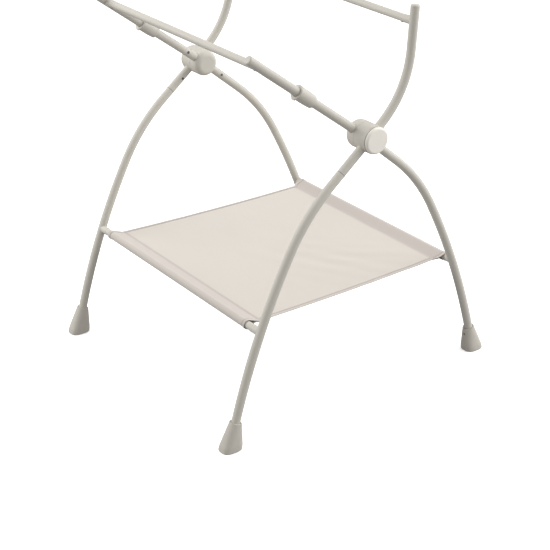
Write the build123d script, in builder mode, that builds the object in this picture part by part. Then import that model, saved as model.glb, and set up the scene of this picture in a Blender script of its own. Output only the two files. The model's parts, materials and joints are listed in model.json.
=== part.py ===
"""Folding X-frame stand with a fabric shelf.

Two tube frames cross at a pivot hub on each side of the stand. The outer frame has the
front legs and the rear arms, and the inner frame has the rear legs and the front arms.
X runs from hub to hub, Y from front to rear and Z up. The origin is on the floor, under
the middle of the pivot axis. All sizes are in millimetres.
"""

import os
from math import acos, cos, degrees, radians, sin

from build123d import *

# ---- overall size -----------------------------------------------------------------
frame_width = 635.0  # centre to centre of the outer frame's two tube planes
plane_step = 29.5  # from an outer tube plane in to the inner frame's tube plane
hub_height = 604.0  # pivot axis above the floor

# ---- tubes ------------------------------------------------------------------------
tube_d = 19.0
tube_wall = 1.2
plug_fit = 0.1  # radial clearance of a plug, a spigot or a shell on its tube
tube_bore_d = tube_d - 2 * tube_wall
plug_d = tube_bore_d - 2 * plug_fit

# ---- legs, the same bend in both frames, angles below the horizontal ----------------
leg_slope = 39.4
leg_straight = 124.0
leg_upper_r = 417.0
leg_lower_slope = 61.6  # where the upper bend becomes the lower one
leg_lower_r = 1594.0
leg_end_height = 12.0  # tube end above the floor, inside the foot
seam_at = 95.0  # along the front leg from the pivot axis to its joint

# ---- arms, angles above the horizontal ----------------------------------------------
rear_arm_slope = 41.8
rear_arm_straight = 43.2
rear_arm_r = 201.3
rear_arm_top_slope = 86.0
rear_arm_rise = 252.0  # the arm's top end above the pivot axis
rear_rail_drop = 30.0  # the rail's axis below that end
front_arm_slope = 36.7
front_arm_length = 342.0
front_rail_at = 305.0  # along the arm from the pivot axis

# ---- hub ----------------------------------------------------------------------------
shell_r = 29.5
shell_wall = 2.5
shell_dome = 13.0
shell_gap = 0.6  # running gap between the two shells
port_clearance = 0.3
nut_room = 0.3  # from the bolt's end to the inner shell
head_room = 2.8  # from the bolt's head to the cap
core_r = 12.0
core_step = 1.0  # the core's faces stand this much inside the tube's sides
tube_gap = 1.0  # from the core's boss to the end of a tube
spigot_end = 66.0
short_spigot_end = 42.0
cap_gap = 0.9
cap_height = 6.6
cap_step = 1.3  # the cap's radius is this much smaller than the shell's
cap_round = 5.0
cap_neck_length = 7.0
bolt_d = 8.0
running_fit = 0.05  # radial clearance of the pivot bolt
bolt_head_d = 14.0
bolt_head_height = 5.0
nut_across = 13.0
nut_height = 5.0
bolt_proud = 0.4  # past the nut
washer_d = 17.0
washer_height = 1.6
spacer_d = 20.0

# ---- rivets and the snap button on the side that faces the middle of the stand --------
rivet_at = 57.0  # along the tube from the pivot axis
short_rivet_at = 37.0  # on the rear arm, above whose rivet the tube starts to bend
rivet_d = 4.0
rivet_head_d = 6.4
rivet_head_height = 1.3
sleeve_start = 46.0
sleeve_end = 136.0
sleeve_wall = 1.5
button_d = 5.6
button_clearance = 0.2
button_proud = 1.3
button_flange_d = 7.6
button_flange_height = 1.0
spring_strip = 0.6
spring_width = 6.0
spring_length = 26.0

# ---- collar on the front arm ----------------------------------------------------------
collar_at = 157.0
collar_length = 46.0
collar_small_r = 13.8
collar_r = 14.8
collar_rim_r = 15.5
collar_rim_length = 2.6
collar_mouth_r = 10.4
collar_mouth_depth = 2.0
collar_joint_at = 184.0  # where the two halves of the arm meet, inside the collar
joint_gap = 0.4
arm_spigot_half = 40.0
release_tab_width = 9.0
release_tab_length = 3.2
release_tab_height = 2.0

# ---- feet -------------------------------------------------------------------------------
foot_half_x = 19.5
foot_half_y = 24.2
foot_corner = 2.8  # 2 gives an ellipse, and more gives fuller corners
foot_outline_points = 24
foot_band = 12.0
foot_band_taper = 0.6
foot_height = 60.0
foot_top_r = 13.2
foot_lip = 2.6
foot_mouth_depth = 3.0
foot_round = 2.4
foot_screw_drop = 12.0  # below the foot's top, along the leg

# ---- shelf bars, top rails and their sockets ----------------------------------------------
bar_d = 16.0
bar_wall = 1.0
bar_z = 246.8
socket_lip = 0.5  # the socket stands this much proud of its bar
socket_plug = 24.0
outer_socket_length = 18.0
inner_socket_length = 9.0
screw_d = 3.0
screw_head_d = 5.8
screw_head_height = 1.8
screw_length = 9.0
screw_clearance = 0.05
outer_screw_at = 6.0  # past the end of the socket
inner_screw_at = 3.4

# ---- end caps -------------------------------------------------------------------------------
end_cap_height = 4.0
end_cap_plug = 14.0

# ---- fabric shelf -----------------------------------------------------------------------------
front_fabric_margin = 10.0  # from a screw's axis in to the fabric's edge
rear_fabric_margin = 4.1
sleeve_gap = 0.3  # between the fabric and the bar
fabric_thick = 1.2
seam_from_bar = 26.0  # from the bar's axis to the sleeve's seam

# ---- values that follow --------------------------------------------------------------------------
outer_x = frame_width / 2
inner_x = outer_x - plane_step
tube_r = tube_d / 2
core_half = tube_r - core_step
tube_start = core_r + tube_gap  # from the pivot axis
parting_at = plane_step - tube_r - shell_wall  # from the outer tube plane to mid gap
parting_x = outer_x - parting_at
nut_stack = core_half + washer_height + nut_height + bolt_proud
head_stack = core_half + washer_height + bolt_head_height
inner_shell_depth = plane_step - parting_at - shell_gap / 2 + nut_stack + nut_room + shell_wall
outer_shell_depth = parting_at - shell_gap / 2 + head_stack + head_room - cap_gap
cap_r = shell_r - cap_step
cap_neck_r = shell_r - shell_wall - plug_fit
rear_arm_height = hub_height + rear_arm_rise
rear_rail_height = rear_arm_height - rear_rail_drop
plug_r = plug_d / 2
bar_r = bar_d / 2
socket_d = bar_d + 2 * socket_lip
outer_screw_x = outer_x - tube_r - outer_socket_length - outer_screw_at
inner_screw_x = inner_x - tube_r - inner_socket_length - inner_screw_at
shelf_front_half = outer_screw_x - front_fabric_margin
shelf_rear_half = inner_screw_x - rear_fabric_margin
screw_hole_d = screw_d + 2 * screw_clearance
rivet_hole_d = rivet_d + 2 * plug_fit
button_hole_d = button_d + 2 * button_clearance
bolt_hole_d = bolt_d + 2 * running_fit
socket_plug_d = bar_d - 2 * bar_wall - 2 * plug_fit

FRONT = -1
REAR = 1
SIDES = (("right", 1), ("left", -1))


def tan_deg(angle):
    """The tangent of an angle in degrees."""
    return sin(radians(angle)) / cos(radians(angle))


def side_plane(x):
    """The upright plane of one tube: local x runs to the rear and local y runs up."""
    return Plane(origin=(x, 0, 0), x_dir=(0, 1, 0), z_dir=(1, 0, 0))


def hub_plane(x):
    """The upright plane centred on the pivot axis, facing away from -X."""
    return Plane(origin=(x, 0, hub_height), x_dir=(0, 1, 0), z_dir=(1, 0, 0))


def from_hub(way, slope, distance):
    """A point (y, z) that lies along a straight line from the pivot axis."""
    y = way * distance * cos(radians(slope))
    return (y, hub_height + distance * sin(radians(slope)))


def along(way, slope):
    """The direction of that line in space."""
    return Vector(0, way * cos(radians(slope)), sin(radians(slope)))


def leg_at(height):
    """How far out the lower leg is at a height above the floor, and its slope there."""
    out = leg_straight * cos(radians(leg_slope))
    fall = leg_straight * sin(radians(leg_slope))
    out += leg_upper_r * (sin(radians(leg_lower_slope)) - sin(radians(leg_slope)))
    fall += leg_upper_r * (cos(radians(leg_slope)) - cos(radians(leg_lower_slope)))
    drop = hub_height - fall - height
    slope = degrees(acos(cos(radians(leg_lower_slope)) - drop / leg_lower_r))
    out += leg_lower_r * (sin(radians(slope)) - sin(radians(leg_lower_slope)))
    return out, slope


def leg_bends(way, start):
    """Draw a leg's centreline from a distance along it down to the tube's end."""
    end_slope = leg_at(leg_end_height)[1]
    knee = from_hub(way, -leg_slope, leg_straight)
    Line(from_hub(way, -leg_slope, start), knee)
    heading = (way * cos(radians(leg_slope)), -sin(radians(leg_slope)))
    upper = JernArc(knee, heading, leg_upper_r, -way * (leg_lower_slope - leg_slope))
    JernArc(upper @ 1, upper % 1, leg_lower_r, -way * (end_slope - leg_lower_slope))


def foot_bore_line(way):
    """Draw the leg's centreline inside the foot, from above its top to the tube's end."""
    out, slope = leg_at(foot_height + foot_mouth_depth)
    end_slope = leg_at(leg_end_height)[1]
    heading = (way * cos(radians(slope)), -sin(radians(slope)))
    start = (way * out, foot_height + foot_mouth_depth)
    JernArc(start, heading, leg_lower_r, -way * (end_slope - slope))


def cross_hole(point, direction, d, length):
    """Cut a round hole from a point along a direction."""
    with Locations(Plane(origin=point, z_dir=direction)):
        Cylinder(d / 2, length, align=(Align.CENTER, Align.CENTER, Align.MIN), mode=Mode.SUBTRACT)


def inward_hole(plane_x, sign, way, slope, distance, d):
    """Cut a round hole through the tube wall that faces the middle of the stand."""
    y, z = from_hub(way, slope, distance)
    cross_hole((plane_x * sign, y, z), (-sign, 0, 0), d, tube_d)


def foot_screw_place(plane_x, sign, way):
    """Where a foot's screw crosses the leg's centreline, and the way to its head."""
    height = foot_height - foot_screw_drop
    out, slope = leg_at(height)
    point = Vector(plane_x * sign, way * out, height)
    return point, Vector(0, -way * sin(radians(slope)), -cos(radians(slope)))


def straight_tube(plane_x, way, slope, start, end):
    """A straight tube in its frame's plane, between two distances from the pivot axis."""
    y, z = from_hub(way, slope, start)
    with BuildPart() as tube:
        with BuildSketch(Plane(origin=(plane_x, y, z), z_dir=along(way, slope))):
            Circle(tube_r)
            Circle(tube_bore_d / 2, mode=Mode.SUBTRACT)
        extrude(amount=end - start)
    return tube


def save(piece, name):
    """Name a finished piece and write it out."""
    piece.part.label = name
    export_step(piece.part, f"parts/{name}.step")


def leg_tube(plane_x, sign, way, start):
    """A bent leg, with the hole for its foot's screw and, at the hub, for its rivet."""
    with BuildPart() as tube:
        with BuildLine(side_plane(plane_x * sign)) as centreline:
            leg_bends(way, start)
        path = centreline.line
        with BuildSketch(Plane(origin=path @ 0, z_dir=path % 0)):
            Circle(tube_r)
            Circle(tube_bore_d / 2, mode=Mode.SUBTRACT)
        sweep(path=path)
        point, outward = foot_screw_place(plane_x, sign, way)
        cross_hole(point, outward, screw_hole_d, tube_d)
        if start < rivet_at:
            inward_hole(plane_x, sign, way, -leg_slope, rivet_at, rivet_hole_d)
    return tube


def rear_arm_tube(sign):
    """The outer frame's arm: straight out of the hub, then bent up to the vertical."""
    x = outer_x * sign
    with BuildPart() as tube:
        with BuildLine(side_plane(x)) as centreline:
            elbow = from_hub(REAR, rear_arm_slope, rear_arm_straight)
            Line(from_hub(REAR, rear_arm_slope, tube_start), elbow)
            heading = (cos(radians(rear_arm_slope)), sin(radians(rear_arm_slope)))
            bend = JernArc(elbow, heading, rear_arm_r, rear_arm_top_slope - rear_arm_slope)
            top = bend @ 1
            rise = rear_arm_height - top.Z
            Line((top.Y, top.Z), (top.Y + rise / tan_deg(rear_arm_top_slope), top.Z + rise))
        path = centreline.line
        with BuildSketch(Plane(origin=path @ 0, z_dir=path % 0)):
            Circle(tube_r)
            Circle(tube_bore_d / 2, mode=Mode.SUBTRACT)
        sweep(path=path)
        inward_hole(outer_x, sign, REAR, rear_arm_slope, short_rivet_at, rivet_hole_d)
    return tube


def rear_arm_at(height):
    """How far to the rear the arm's straight top is at a height above the floor."""
    turn = sin(radians(rear_arm_top_slope)) - sin(radians(rear_arm_slope))
    lift = cos(radians(rear_arm_slope)) - cos(radians(rear_arm_top_slope))
    y, z = from_hub(REAR, rear_arm_slope, rear_arm_straight)
    y += rear_arm_r * turn
    z += rear_arm_r * lift
    return y + (height - z) / tan_deg(rear_arm_top_slope)


def hub_core(plane_x, sign, spigots):
    """The metal heart of a hub: a boss round the bolt with a spigot into each tube."""
    with BuildPart() as core:
        with BuildSketch(hub_plane(plane_x * sign)):
            Circle(core_r)
        extrude(amount=core_half, both=True)
        for way, slope, end, hole_at in spigots:
            with BuildSketch(Plane(origin=(plane_x * sign, 0, hub_height), z_dir=along(way, slope))):
                Circle(plug_r)
            extrude(amount=end)
            if hole_at:
                inward_hole(plane_x, sign, way, slope, hole_at, rivet_hole_d)
        with BuildSketch(hub_plane(plane_x * sign)):
            Circle(bolt_hole_d / 2)
        extrude(amount=core_half + tube_d, both=True, mode=Mode.SUBTRACT)
    return core


def shell_port(plane_x, sign, way, slope):
    """Cut the round opening that a tube leaves its shell by."""
    port_d = tube_d + 2 * port_clearance
    cross_hole((plane_x * sign, 0, hub_height), along(way, slope), port_d, 2 * shell_r)


def outer_hub_shell(sign):
    """The cup that covers the outer frame's core. Its open end takes the cap."""
    face = parting_x + shell_gap / 2
    with BuildPart() as shell:
        with BuildSketch(hub_plane(face * sign)):
            Circle(shell_r)
        extrude(amount=sign * outer_shell_depth)
        with BuildSketch(hub_plane((face + shell_wall) * sign)):
            Circle(shell_r - shell_wall)
        extrude(amount=sign * outer_shell_depth, mode=Mode.SUBTRACT)
        with BuildSketch(hub_plane(face * sign)):
            Circle(spacer_d / 2 + plug_fit)
        extrude(amount=sign * shell_wall, mode=Mode.SUBTRACT)
        shell_port(outer_x, sign, FRONT, -leg_slope)
        shell_port(outer_x, sign, REAR, rear_arm_slope)
    return shell


def domed_puck(face, sign, depth, radius, dome):
    """A short round block from a plane in towards the middle, domed at that end."""
    with BuildPart() as puck:
        with BuildSketch(hub_plane(face * sign)):
            Circle(radius)
        extrude(amount=-sign * depth)
        crown = puck.faces().sort_by(Axis.X)[0 if sign > 0 else -1]
        fillet(crown.edges(), dome)
    return puck


def inner_hub_shell(sign):
    """The domed cup that covers the inner frame's core and the bolt's nut."""
    face = parting_x - shell_gap / 2
    wall = shell_wall
    outside = domed_puck(face, sign, inner_shell_depth, shell_r, shell_dome)
    hollow = domed_puck(
        face - wall, sign, inner_shell_depth - 2 * wall, shell_r - wall, shell_dome - wall
    )
    with BuildPart() as shell:
        add(outside.part)
        add(hollow.part, mode=Mode.SUBTRACT)
        cross_hole((face * sign, 0, hub_height), (-sign, 0, 0), spacer_d + 2 * port_clearance, wall)
        shell_port(inner_x, sign, REAR, -leg_slope)
        shell_port(inner_x, sign, FRONT, front_arm_slope)
    return shell


def hub_cap(sign):
    """The round cap with a rounded edge, and the neck that holds it in the shell."""
    base = parting_x + shell_gap / 2 + outer_shell_depth + cap_gap
    with BuildPart() as cap:
        with BuildSketch(hub_plane(base * sign)):
            Circle(cap_r)
        extrude(amount=sign * cap_height)
        rim = cap.faces().sort_by(Axis.X)[-1 if sign > 0 else 0].edges()
        fillet(rim, cap_round)
        with BuildSketch(hub_plane(base * sign)):
            Circle(cap_neck_r)
            Circle(cap_neck_r - shell_wall, mode=Mode.SUBTRACT)
        extrude(amount=-sign * (cap_neck_length + cap_gap))
        shell_port(outer_x, sign, FRONT, -leg_slope)
        shell_port(outer_x, sign, REAR, rear_arm_slope)
    return cap


def foot_outline(half_x, half_y):
    """Draw the foot's outline, an oval with fuller corners than an ellipse."""
    points = []
    for step in range(foot_outline_points):
        turn = radians(360 / foot_outline_points * step)
        across, ahead = cos(turn), sin(turn)
        reach = (abs(across / half_x) ** foot_corner + abs(ahead / half_y) ** foot_corner) ** (-1 / foot_corner)
        points.append((reach * across, reach * ahead))
    with BuildLine() as rim:
        Spline(*points, periodic=True)
    make_face(rim.edges())


def foot(plane_x, sign, way):
    """A flared boot on the end of a leg, cut flat at the floor."""
    base_out = leg_at(0)[0]
    band_out = leg_at(foot_band)[0]
    top_out, top_slope = leg_at(foot_height)
    x = plane_x * sign
    down = Vector(0, way * cos(radians(top_slope)), -sin(radians(top_slope)))
    with BuildPart() as boot:
        with BuildSketch(Plane(origin=(x, way * base_out, 0))):
            foot_outline(foot_half_x, foot_half_y)
        with BuildSketch(Plane(origin=(x, way * band_out, foot_band))):
            foot_outline(foot_half_x - foot_band_taper, foot_half_y - foot_band_taper)
        loft(ruled=True)
        with BuildSketch(Plane(origin=(x, way * band_out, foot_band))):
            foot_outline(foot_half_x - foot_band_taper, foot_half_y - foot_band_taper)
        with BuildSketch(Plane(origin=(x, way * top_out, foot_height), x_dir=(1, 0, 0), z_dir=-down)):
            Circle(foot_top_r)
        loft(ruled=True)
        fillet(boot.faces().sort_by(Axis.Z)[0].edges(), foot_round)
        with BuildLine(side_plane(x)) as centreline:
            foot_bore_line(way)
        path = centreline.line
        with BuildSketch(Plane(origin=path @ 0, z_dir=path % 0)):
            Circle(tube_r + plug_fit)
        sweep(path=path, mode=Mode.SUBTRACT)
        with BuildSketch(Plane(origin=(x, way * top_out, foot_height), z_dir=down)):
            Circle(foot_top_r - foot_lip)
        extrude(amount=foot_mouth_depth, mode=Mode.SUBTRACT)
        point, outward = foot_screw_place(plane_x, sign, way)
        cross_hole(point, outward, screw_hole_d, 2 * foot_top_r)
        seat = point + outward * (foot_top_r - 0.4)
        cross_hole(seat, outward, screw_head_d + 0.4, foot_top_r)
    return boot


def foot_screws(plane_x, way):
    """The pair of screws that hold one frame's feet on its legs."""
    with BuildPart() as screws:
        for _, sign in SIDES:
            point, outward = foot_screw_place(plane_x, sign, way)
            with BuildSketch(Plane(origin=point + outward * (tube_r - 2 * tube_wall), z_dir=outward)):
                Circle(screw_d / 2)
            extrude(amount=foot_top_r - 0.4 - (tube_r - 2 * tube_wall))
            with BuildSketch(Plane(origin=point + outward * (foot_top_r - 0.4), z_dir=outward)):
                Circle(screw_head_d / 2)
            extrude(amount=screw_head_height)
    return screws


def bar_socket(plane_x, sign, y, z, tangent, length):
    """A moulded socket that saddles a tube and plugs into the end of a bar."""
    inner_face = plane_x - tube_r
    with BuildPart() as socket:
        with BuildSketch(Plane(origin=(plane_x * sign, y, z), z_dir=(-sign, 0, 0))):
            Circle(socket_d / 2)
        extrude(amount=tube_r + length)
        with BuildSketch(Plane(origin=((inner_face - length) * sign, y, z), z_dir=(-sign, 0, 0))):
            Circle(socket_plug_d / 2)
        extrude(amount=socket_plug)
        with BuildSketch(Plane(origin=(plane_x * sign, y, z), z_dir=tangent)):
            Circle(tube_r + plug_fit)
        extrude(amount=tube_d, both=True, mode=Mode.SUBTRACT)
    return socket


def crossbar(plane_x, y, z, length, screw_past):
    """A bar or rail between the sockets of one frame, drilled for its two screws."""
    half = plane_x - tube_r - length
    with BuildPart() as bar:
        with BuildSketch(Plane(origin=(-half, y, z), z_dir=(1, 0, 0))):
            Circle(bar_r)
            Circle(bar_r - bar_wall, mode=Mode.SUBTRACT)
        extrude(amount=2 * half)
        for _, sign in SIDES:
            cross_hole(((half - screw_past) * sign, y, z), (0, 0, -1), screw_hole_d, bar_d)
    return bar


def crossbar_fittings(name, plane_x, y, z, tangent, length, screw_past):
    """Save a crossbar, its two sockets and its two screws."""
    half = plane_x - tube_r - length
    save(crossbar(plane_x, y, z, length, screw_past), name)
    pair = [bar_socket(plane_x, sign, y, z, tangent, length) for _, sign in SIDES]
    with BuildPart() as sockets:
        for socket in pair:
            add(socket.part)
        for _, sign in SIDES:
            at_screw = ((half - screw_past) * sign, y, z)
            cross_hole(at_screw, (0, 0, -1), screw_hole_d, bar_d)
    save(sockets, f"{name}_sockets")
    with BuildPart() as screws:
        for _, sign in SIDES:
            below = Plane(origin=((half - screw_past) * sign, y, z - bar_r), z_dir=(0, 0, 1))
            with BuildSketch(below):
                Circle(screw_d / 2)
            extrude(amount=screw_length - screw_head_height)
            with BuildSketch(below):
                Circle(screw_head_d / 2)
            extrude(amount=-screw_head_height)
    save(screws, f"{name}_screws")


def end_caps(plane_x, y, z, direction):
    """The pair of moulded plugs that close the open tube ends of one frame's arms."""
    with BuildPart() as caps:
        for _, sign in SIDES:
            end = Plane(origin=(plane_x * sign, y, z), z_dir=direction)
            with BuildSketch(end):
                Circle(plug_r)
            extrude(amount=-end_cap_plug)
            with BuildSketch(end):
                Circle(tube_r)
            extrude(amount=end_cap_height)
        tops = caps.faces().filter_by(Plane(origin=(0, 0, 0), z_dir=direction)).group_by(
            Axis((0, 0, 0), direction)
        )[-1]
        fillet(tops.edges(), end_cap_height - 0.6)
    return caps


def rivets(places):
    """Domed rivets through tube walls, each at (plane, way, slope, distance)."""
    with BuildPart() as group:
        for _, sign in SIDES:
            for plane_x, way, slope, distance in places:
                y, z = from_hub(way, slope, distance)
                with BuildSketch(Plane(origin=(plane_x * sign, y, z), z_dir=(-sign, 0, 0))):
                    Circle(rivet_d / 2)
                extrude(amount=tube_r)
                head = Plane(origin=((plane_x - tube_r) * sign, y, z), z_dir=(-sign, 0, 0))
                with BuildSketch(head):
                    Circle(rivet_head_d / 2)
                extrude(amount=rivet_head_height, taper=30)
    return group


def collar(sign):
    """The moulded collar over the front arm's joint, with a flared mouth and a small tab."""
    y, z = from_hub(FRONT, front_arm_slope, collar_at)
    forward = along(FRONT, front_arm_slope)
    base = Plane(origin=(inner_x * sign, y, z), x_dir=(1, 0, 0), z_dir=forward)
    with BuildPart() as ring:
        with BuildSketch(base):
            Circle(collar_small_r)
        with BuildSketch(base.offset(0.4 * collar_length)):
            Circle(collar_r)
        loft(ruled=True)
        with BuildSketch(base.offset(0.4 * collar_length)):
            Circle(collar_r)
        extrude(amount=0.6 * collar_length)
        with BuildSketch(base.offset(collar_length - collar_rim_length)):
            Circle(collar_rim_r)
        extrude(amount=collar_rim_length)
        with BuildSketch(base.offset(collar_length - release_tab_length)):
            with Locations((0, -collar_rim_r)):
                Rectangle(release_tab_width, 2 * release_tab_height)
        extrude(amount=release_tab_length)
        with BuildSketch(base):
            Circle(tube_r + plug_fit)
        extrude(amount=collar_length, mode=Mode.SUBTRACT)
        with BuildSketch(base.offset(collar_length - collar_mouth_depth)):
            Circle(collar_mouth_r)
        extrude(amount=collar_mouth_depth, mode=Mode.SUBTRACT)
    return ring


def arm_spigot(sign):
    """The plain tube inside the front arm's joint."""
    start = collar_joint_at - arm_spigot_half
    y, z = from_hub(FRONT, front_arm_slope, start)
    with BuildPart() as spigot:
        with BuildSketch(Plane(origin=(inner_x * sign, y, z), z_dir=along(FRONT, front_arm_slope))):
            Circle(plug_r)
            Circle(plug_r - sleeve_wall, mode=Mode.SUBTRACT)
        extrude(amount=2 * arm_spigot_half)
    return spigot


def leg_sleeve(sign):
    """The sleeve inside the front leg's joint, pressed into the leg and latched above it."""
    y, z = from_hub(FRONT, -leg_slope, sleeve_start)
    with BuildPart() as sleeve:
        with BuildLine(side_plane(outer_x * sign)) as centreline:
            knee = from_hub(FRONT, -leg_slope, leg_straight)
            Line((y, z), knee)
            heading = (-cos(radians(leg_slope)), -sin(radians(leg_slope)))
            JernArc(knee, heading, leg_upper_r, degrees((sleeve_end - leg_straight) / leg_upper_r))
        path = centreline.line
        with BuildSketch(Plane(origin=path @ 0, z_dir=path % 0)):
            Circle(plug_r)
            Circle(plug_r - sleeve_wall, mode=Mode.SUBTRACT)
        sweep(path=path)
        inward_hole(outer_x, sign, FRONT, -leg_slope, rivet_at, button_hole_d)
    return sleeve


def snap_button(sign):
    """The sprung button that latches the front leg, pressed in along X."""
    y, z = from_hub(FRONT, -leg_slope, rivet_at)
    reach = flange_reach()
    inward = (-sign, 0, 0)
    with BuildPart() as button:
        with BuildSketch(Plane(origin=(outer_x * sign - sign * reach, y, z), z_dir=inward)):
            Circle(button_d / 2)
        extrude(amount=tube_r + button_proud - reach)
        tip = button.faces().sort_by(Axis.X)[0 if sign > 0 else -1]
        fillet(tip.edges(), button_d / 2 - 1.0)
        with BuildSketch(Plane(origin=(outer_x * sign - sign * reach, y, z), z_dir=inward)):
            Circle(button_flange_d / 2)
        extrude(amount=-button_flange_height)
    return button


def flange_reach():
    """How far the button's flange sits from the tube's centreline, clear of the sleeve."""
    bore_r = plug_r - sleeve_wall
    return (bore_r**2 - (button_flange_d / 2) ** 2) ** 0.5 - button_clearance


def button_spring(sign):
    """The bent leaf inside the sleeve that pushes the button out."""
    bore_r = plug_r - sleeve_wall
    top = flange_reach() - button_flange_height
    side = spring_width / 2
    foot_x = (bore_r**2 - side**2) ** 0.5 - button_clearance
    y, z = from_hub(FRONT, -leg_slope, rivet_at)
    down_leg = along(FRONT, -leg_slope)
    base = Plane(
        origin=(outer_x * sign, y, z), x_dir=down_leg, z_dir=down_leg.cross(Vector(-sign, 0, 0))
    )
    with BuildPart() as leaf:
        with BuildSketch(base):
            with Locations((spring_length / 2 - button_d, top - spring_strip / 2)):
                Rectangle(spring_length, spring_strip)
            with Locations((spring_length / 2 - button_d, spring_strip / 2 - foot_x)):
                Rectangle(spring_length, spring_strip)
            with Locations((spring_length - button_d - spring_strip / 2, (top - foot_x) / 2)):
                Rectangle(spring_strip, top + foot_x)
        extrude(amount=side, both=True)
    return leaf


def pivot_bolts():
    """The two pivot bolts, each from the outer core's face in to its nut."""
    head = outer_x + core_half + washer_height
    end = inner_x - nut_stack
    with BuildPart() as bolts:
        for _, sign in SIDES:
            with BuildSketch(hub_plane(end * sign)):
                Circle(bolt_d / 2)
            extrude(amount=sign * (head - end))
            with BuildSketch(hub_plane(head * sign)):
                Circle(bolt_head_d / 2)
            extrude(amount=sign * bolt_head_height)
            socket = (head + bolt_head_height) * sign
            with BuildSketch(hub_plane(socket)):
                RegularPolygon(radius=2.9, side_count=6)
            extrude(amount=-sign * 3.0, mode=Mode.SUBTRACT)
    return bolts


def hub_rings(start, length, outer_d, hole_d):
    """A pair of plain rings round the pivot bolts, such as washers or spacers."""
    with BuildPart() as rings:
        for _, sign in SIDES:
            with BuildSketch(hub_plane(start * sign)):
                Circle(outer_d / 2)
                Circle(hole_d / 2, mode=Mode.SUBTRACT)
            extrude(amount=sign * length)
    return rings


def pivot_nuts():
    """The two hexagonal nuts on the inner ends of the bolts."""
    start = inner_x - core_half - washer_height - nut_height
    with BuildPart() as nuts:
        for _, sign in SIDES:
            with BuildSketch(hub_plane(start * sign)):
                RegularPolygon(radius=nut_across / 2, side_count=6, major_radius=False)
                Circle(bolt_hole_d / 2, mode=Mode.SUBTRACT)
            extrude(amount=sign * nut_height)
    return nuts


def shelf_sleeve(half, way):
    """The shelf's sewn sleeve: round its bar outside, drawn in to the seam."""
    y = way * leg_at(bar_z)[0]
    fabric_r = bar_r + sleeve_gap + fabric_thick
    with BuildPart() as sleeve:
        with BuildSketch(Plane(origin=(-half, 0, 0), x_dir=(0, 1, 0), z_dir=(1, 0, 0))):
            with Locations((y, bar_z)):
                Circle(fabric_r)
            with BuildLine():
                lean = degrees(acos((fabric_r - fabric_thick) / seam_from_bar))
                shoulder = (fabric_r * cos(radians(lean)), fabric_r * sin(radians(lean)))
                Polyline(
                    (y, bar_z + fabric_r),
                    (y - way * shoulder[0], bar_z + shoulder[1]),
                    (y - way * seam_from_bar, bar_z + fabric_thick),
                    (y - way * seam_from_bar, bar_z - fabric_thick),
                    (y - way * shoulder[0], bar_z - shoulder[1]),
                    (y, bar_z - fabric_r),
                    close=True,
                )
            make_face()
            with Locations((y, bar_z)):
                Circle(bar_r + sleeve_gap, mode=Mode.SUBTRACT)
        extrude(amount=2 * half)
    return sleeve


def shelf_panel():
    """The shelf's single layer between the two seams, a little wider at the front."""
    edge = leg_at(bar_z)[0] - seam_from_bar
    with BuildPart() as panel:
        with BuildSketch(Plane.XY.offset(bar_z - fabric_thick / 2)):
            with BuildLine():
                Polyline(
                    (-shelf_front_half, -edge),
                    (shelf_front_half, -edge),
                    (shelf_rear_half, edge),
                    (-shelf_rear_half, edge),
                    close=True,
                )
            make_face()
        extrude(amount=fabric_thick)
    return panel


os.makedirs("parts", exist_ok=True)

for side, sign in SIDES:
    # outer frame: front leg, its joint below the hub, and the rear arm
    hub_tube = straight_tube(outer_x * sign, FRONT, -leg_slope, tube_start, seam_at - joint_gap)
    with BuildPart() as short_tube:
        add(hub_tube.part)
        inward_hole(outer_x, sign, FRONT, -leg_slope, rivet_at, button_hole_d)
    save(short_tube, f"front_leg_upper_tube_{side}")
    save(leg_tube(outer_x, sign, FRONT, seam_at), f"front_leg_tube_{side}")
    save(snap_button(sign), f"snap_button_{side}")
    save(button_spring(sign), f"snap_button_spring_{side}")
    save(rear_arm_tube(sign), f"rear_arm_tube_{side}")
    save(foot(outer_x, sign, FRONT), f"front_foot_{side}")
    outer_spigots = (
        (FRONT, -leg_slope, short_spigot_end, None),
        (REAR, rear_arm_slope, short_spigot_end, short_rivet_at),
    )
    save(hub_core(outer_x, sign, outer_spigots), f"outer_hub_core_{side}")
    save(outer_hub_shell(sign), f"outer_hub_shell_{side}")
    save(hub_cap(sign), f"hub_cap_{side}")

    # inner frame: rear leg and the two halves of the front arm
    save(leg_tube(inner_x, sign, REAR, tube_start), f"rear_leg_tube_{side}")
    lower_end = collar_joint_at - joint_gap / 2
    arm = straight_tube(inner_x * sign, FRONT, front_arm_slope, tube_start, lower_end)
    with BuildPart() as lower_arm:
        add(arm.part)
        inward_hole(inner_x, sign, FRONT, front_arm_slope, rivet_at, rivet_hole_d)
    save(lower_arm, f"front_arm_lower_tube_{side}")
    upper_start = collar_joint_at + joint_gap / 2
    upper_arm = straight_tube(inner_x * sign, FRONT, front_arm_slope, upper_start, front_arm_length)
    save(upper_arm, f"front_arm_upper_tube_{side}")
    save(collar(sign), f"front_arm_collar_{side}")
    save(foot(inner_x, sign, REAR), f"rear_foot_{side}")
    inner_spigots = (
        (REAR, -leg_slope, spigot_end, rivet_at),
        (FRONT, front_arm_slope, spigot_end, rivet_at),
    )
    save(hub_core(inner_x, sign, inner_spigots), f"inner_hub_core_{side}")
    save(inner_hub_shell(sign), f"inner_hub_shell_{side}")

# what joins the tubes inside, in pairs
with BuildPart() as leg_sleeves:
    for _, sign in SIDES:
        add(leg_sleeve(sign).part)
save(leg_sleeves, "front_leg_sleeves")
with BuildPart() as arm_spigots:
    for _, sign in SIDES:
        add(arm_spigot(sign).part)
save(arm_spigots, "front_arm_spigots")

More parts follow.
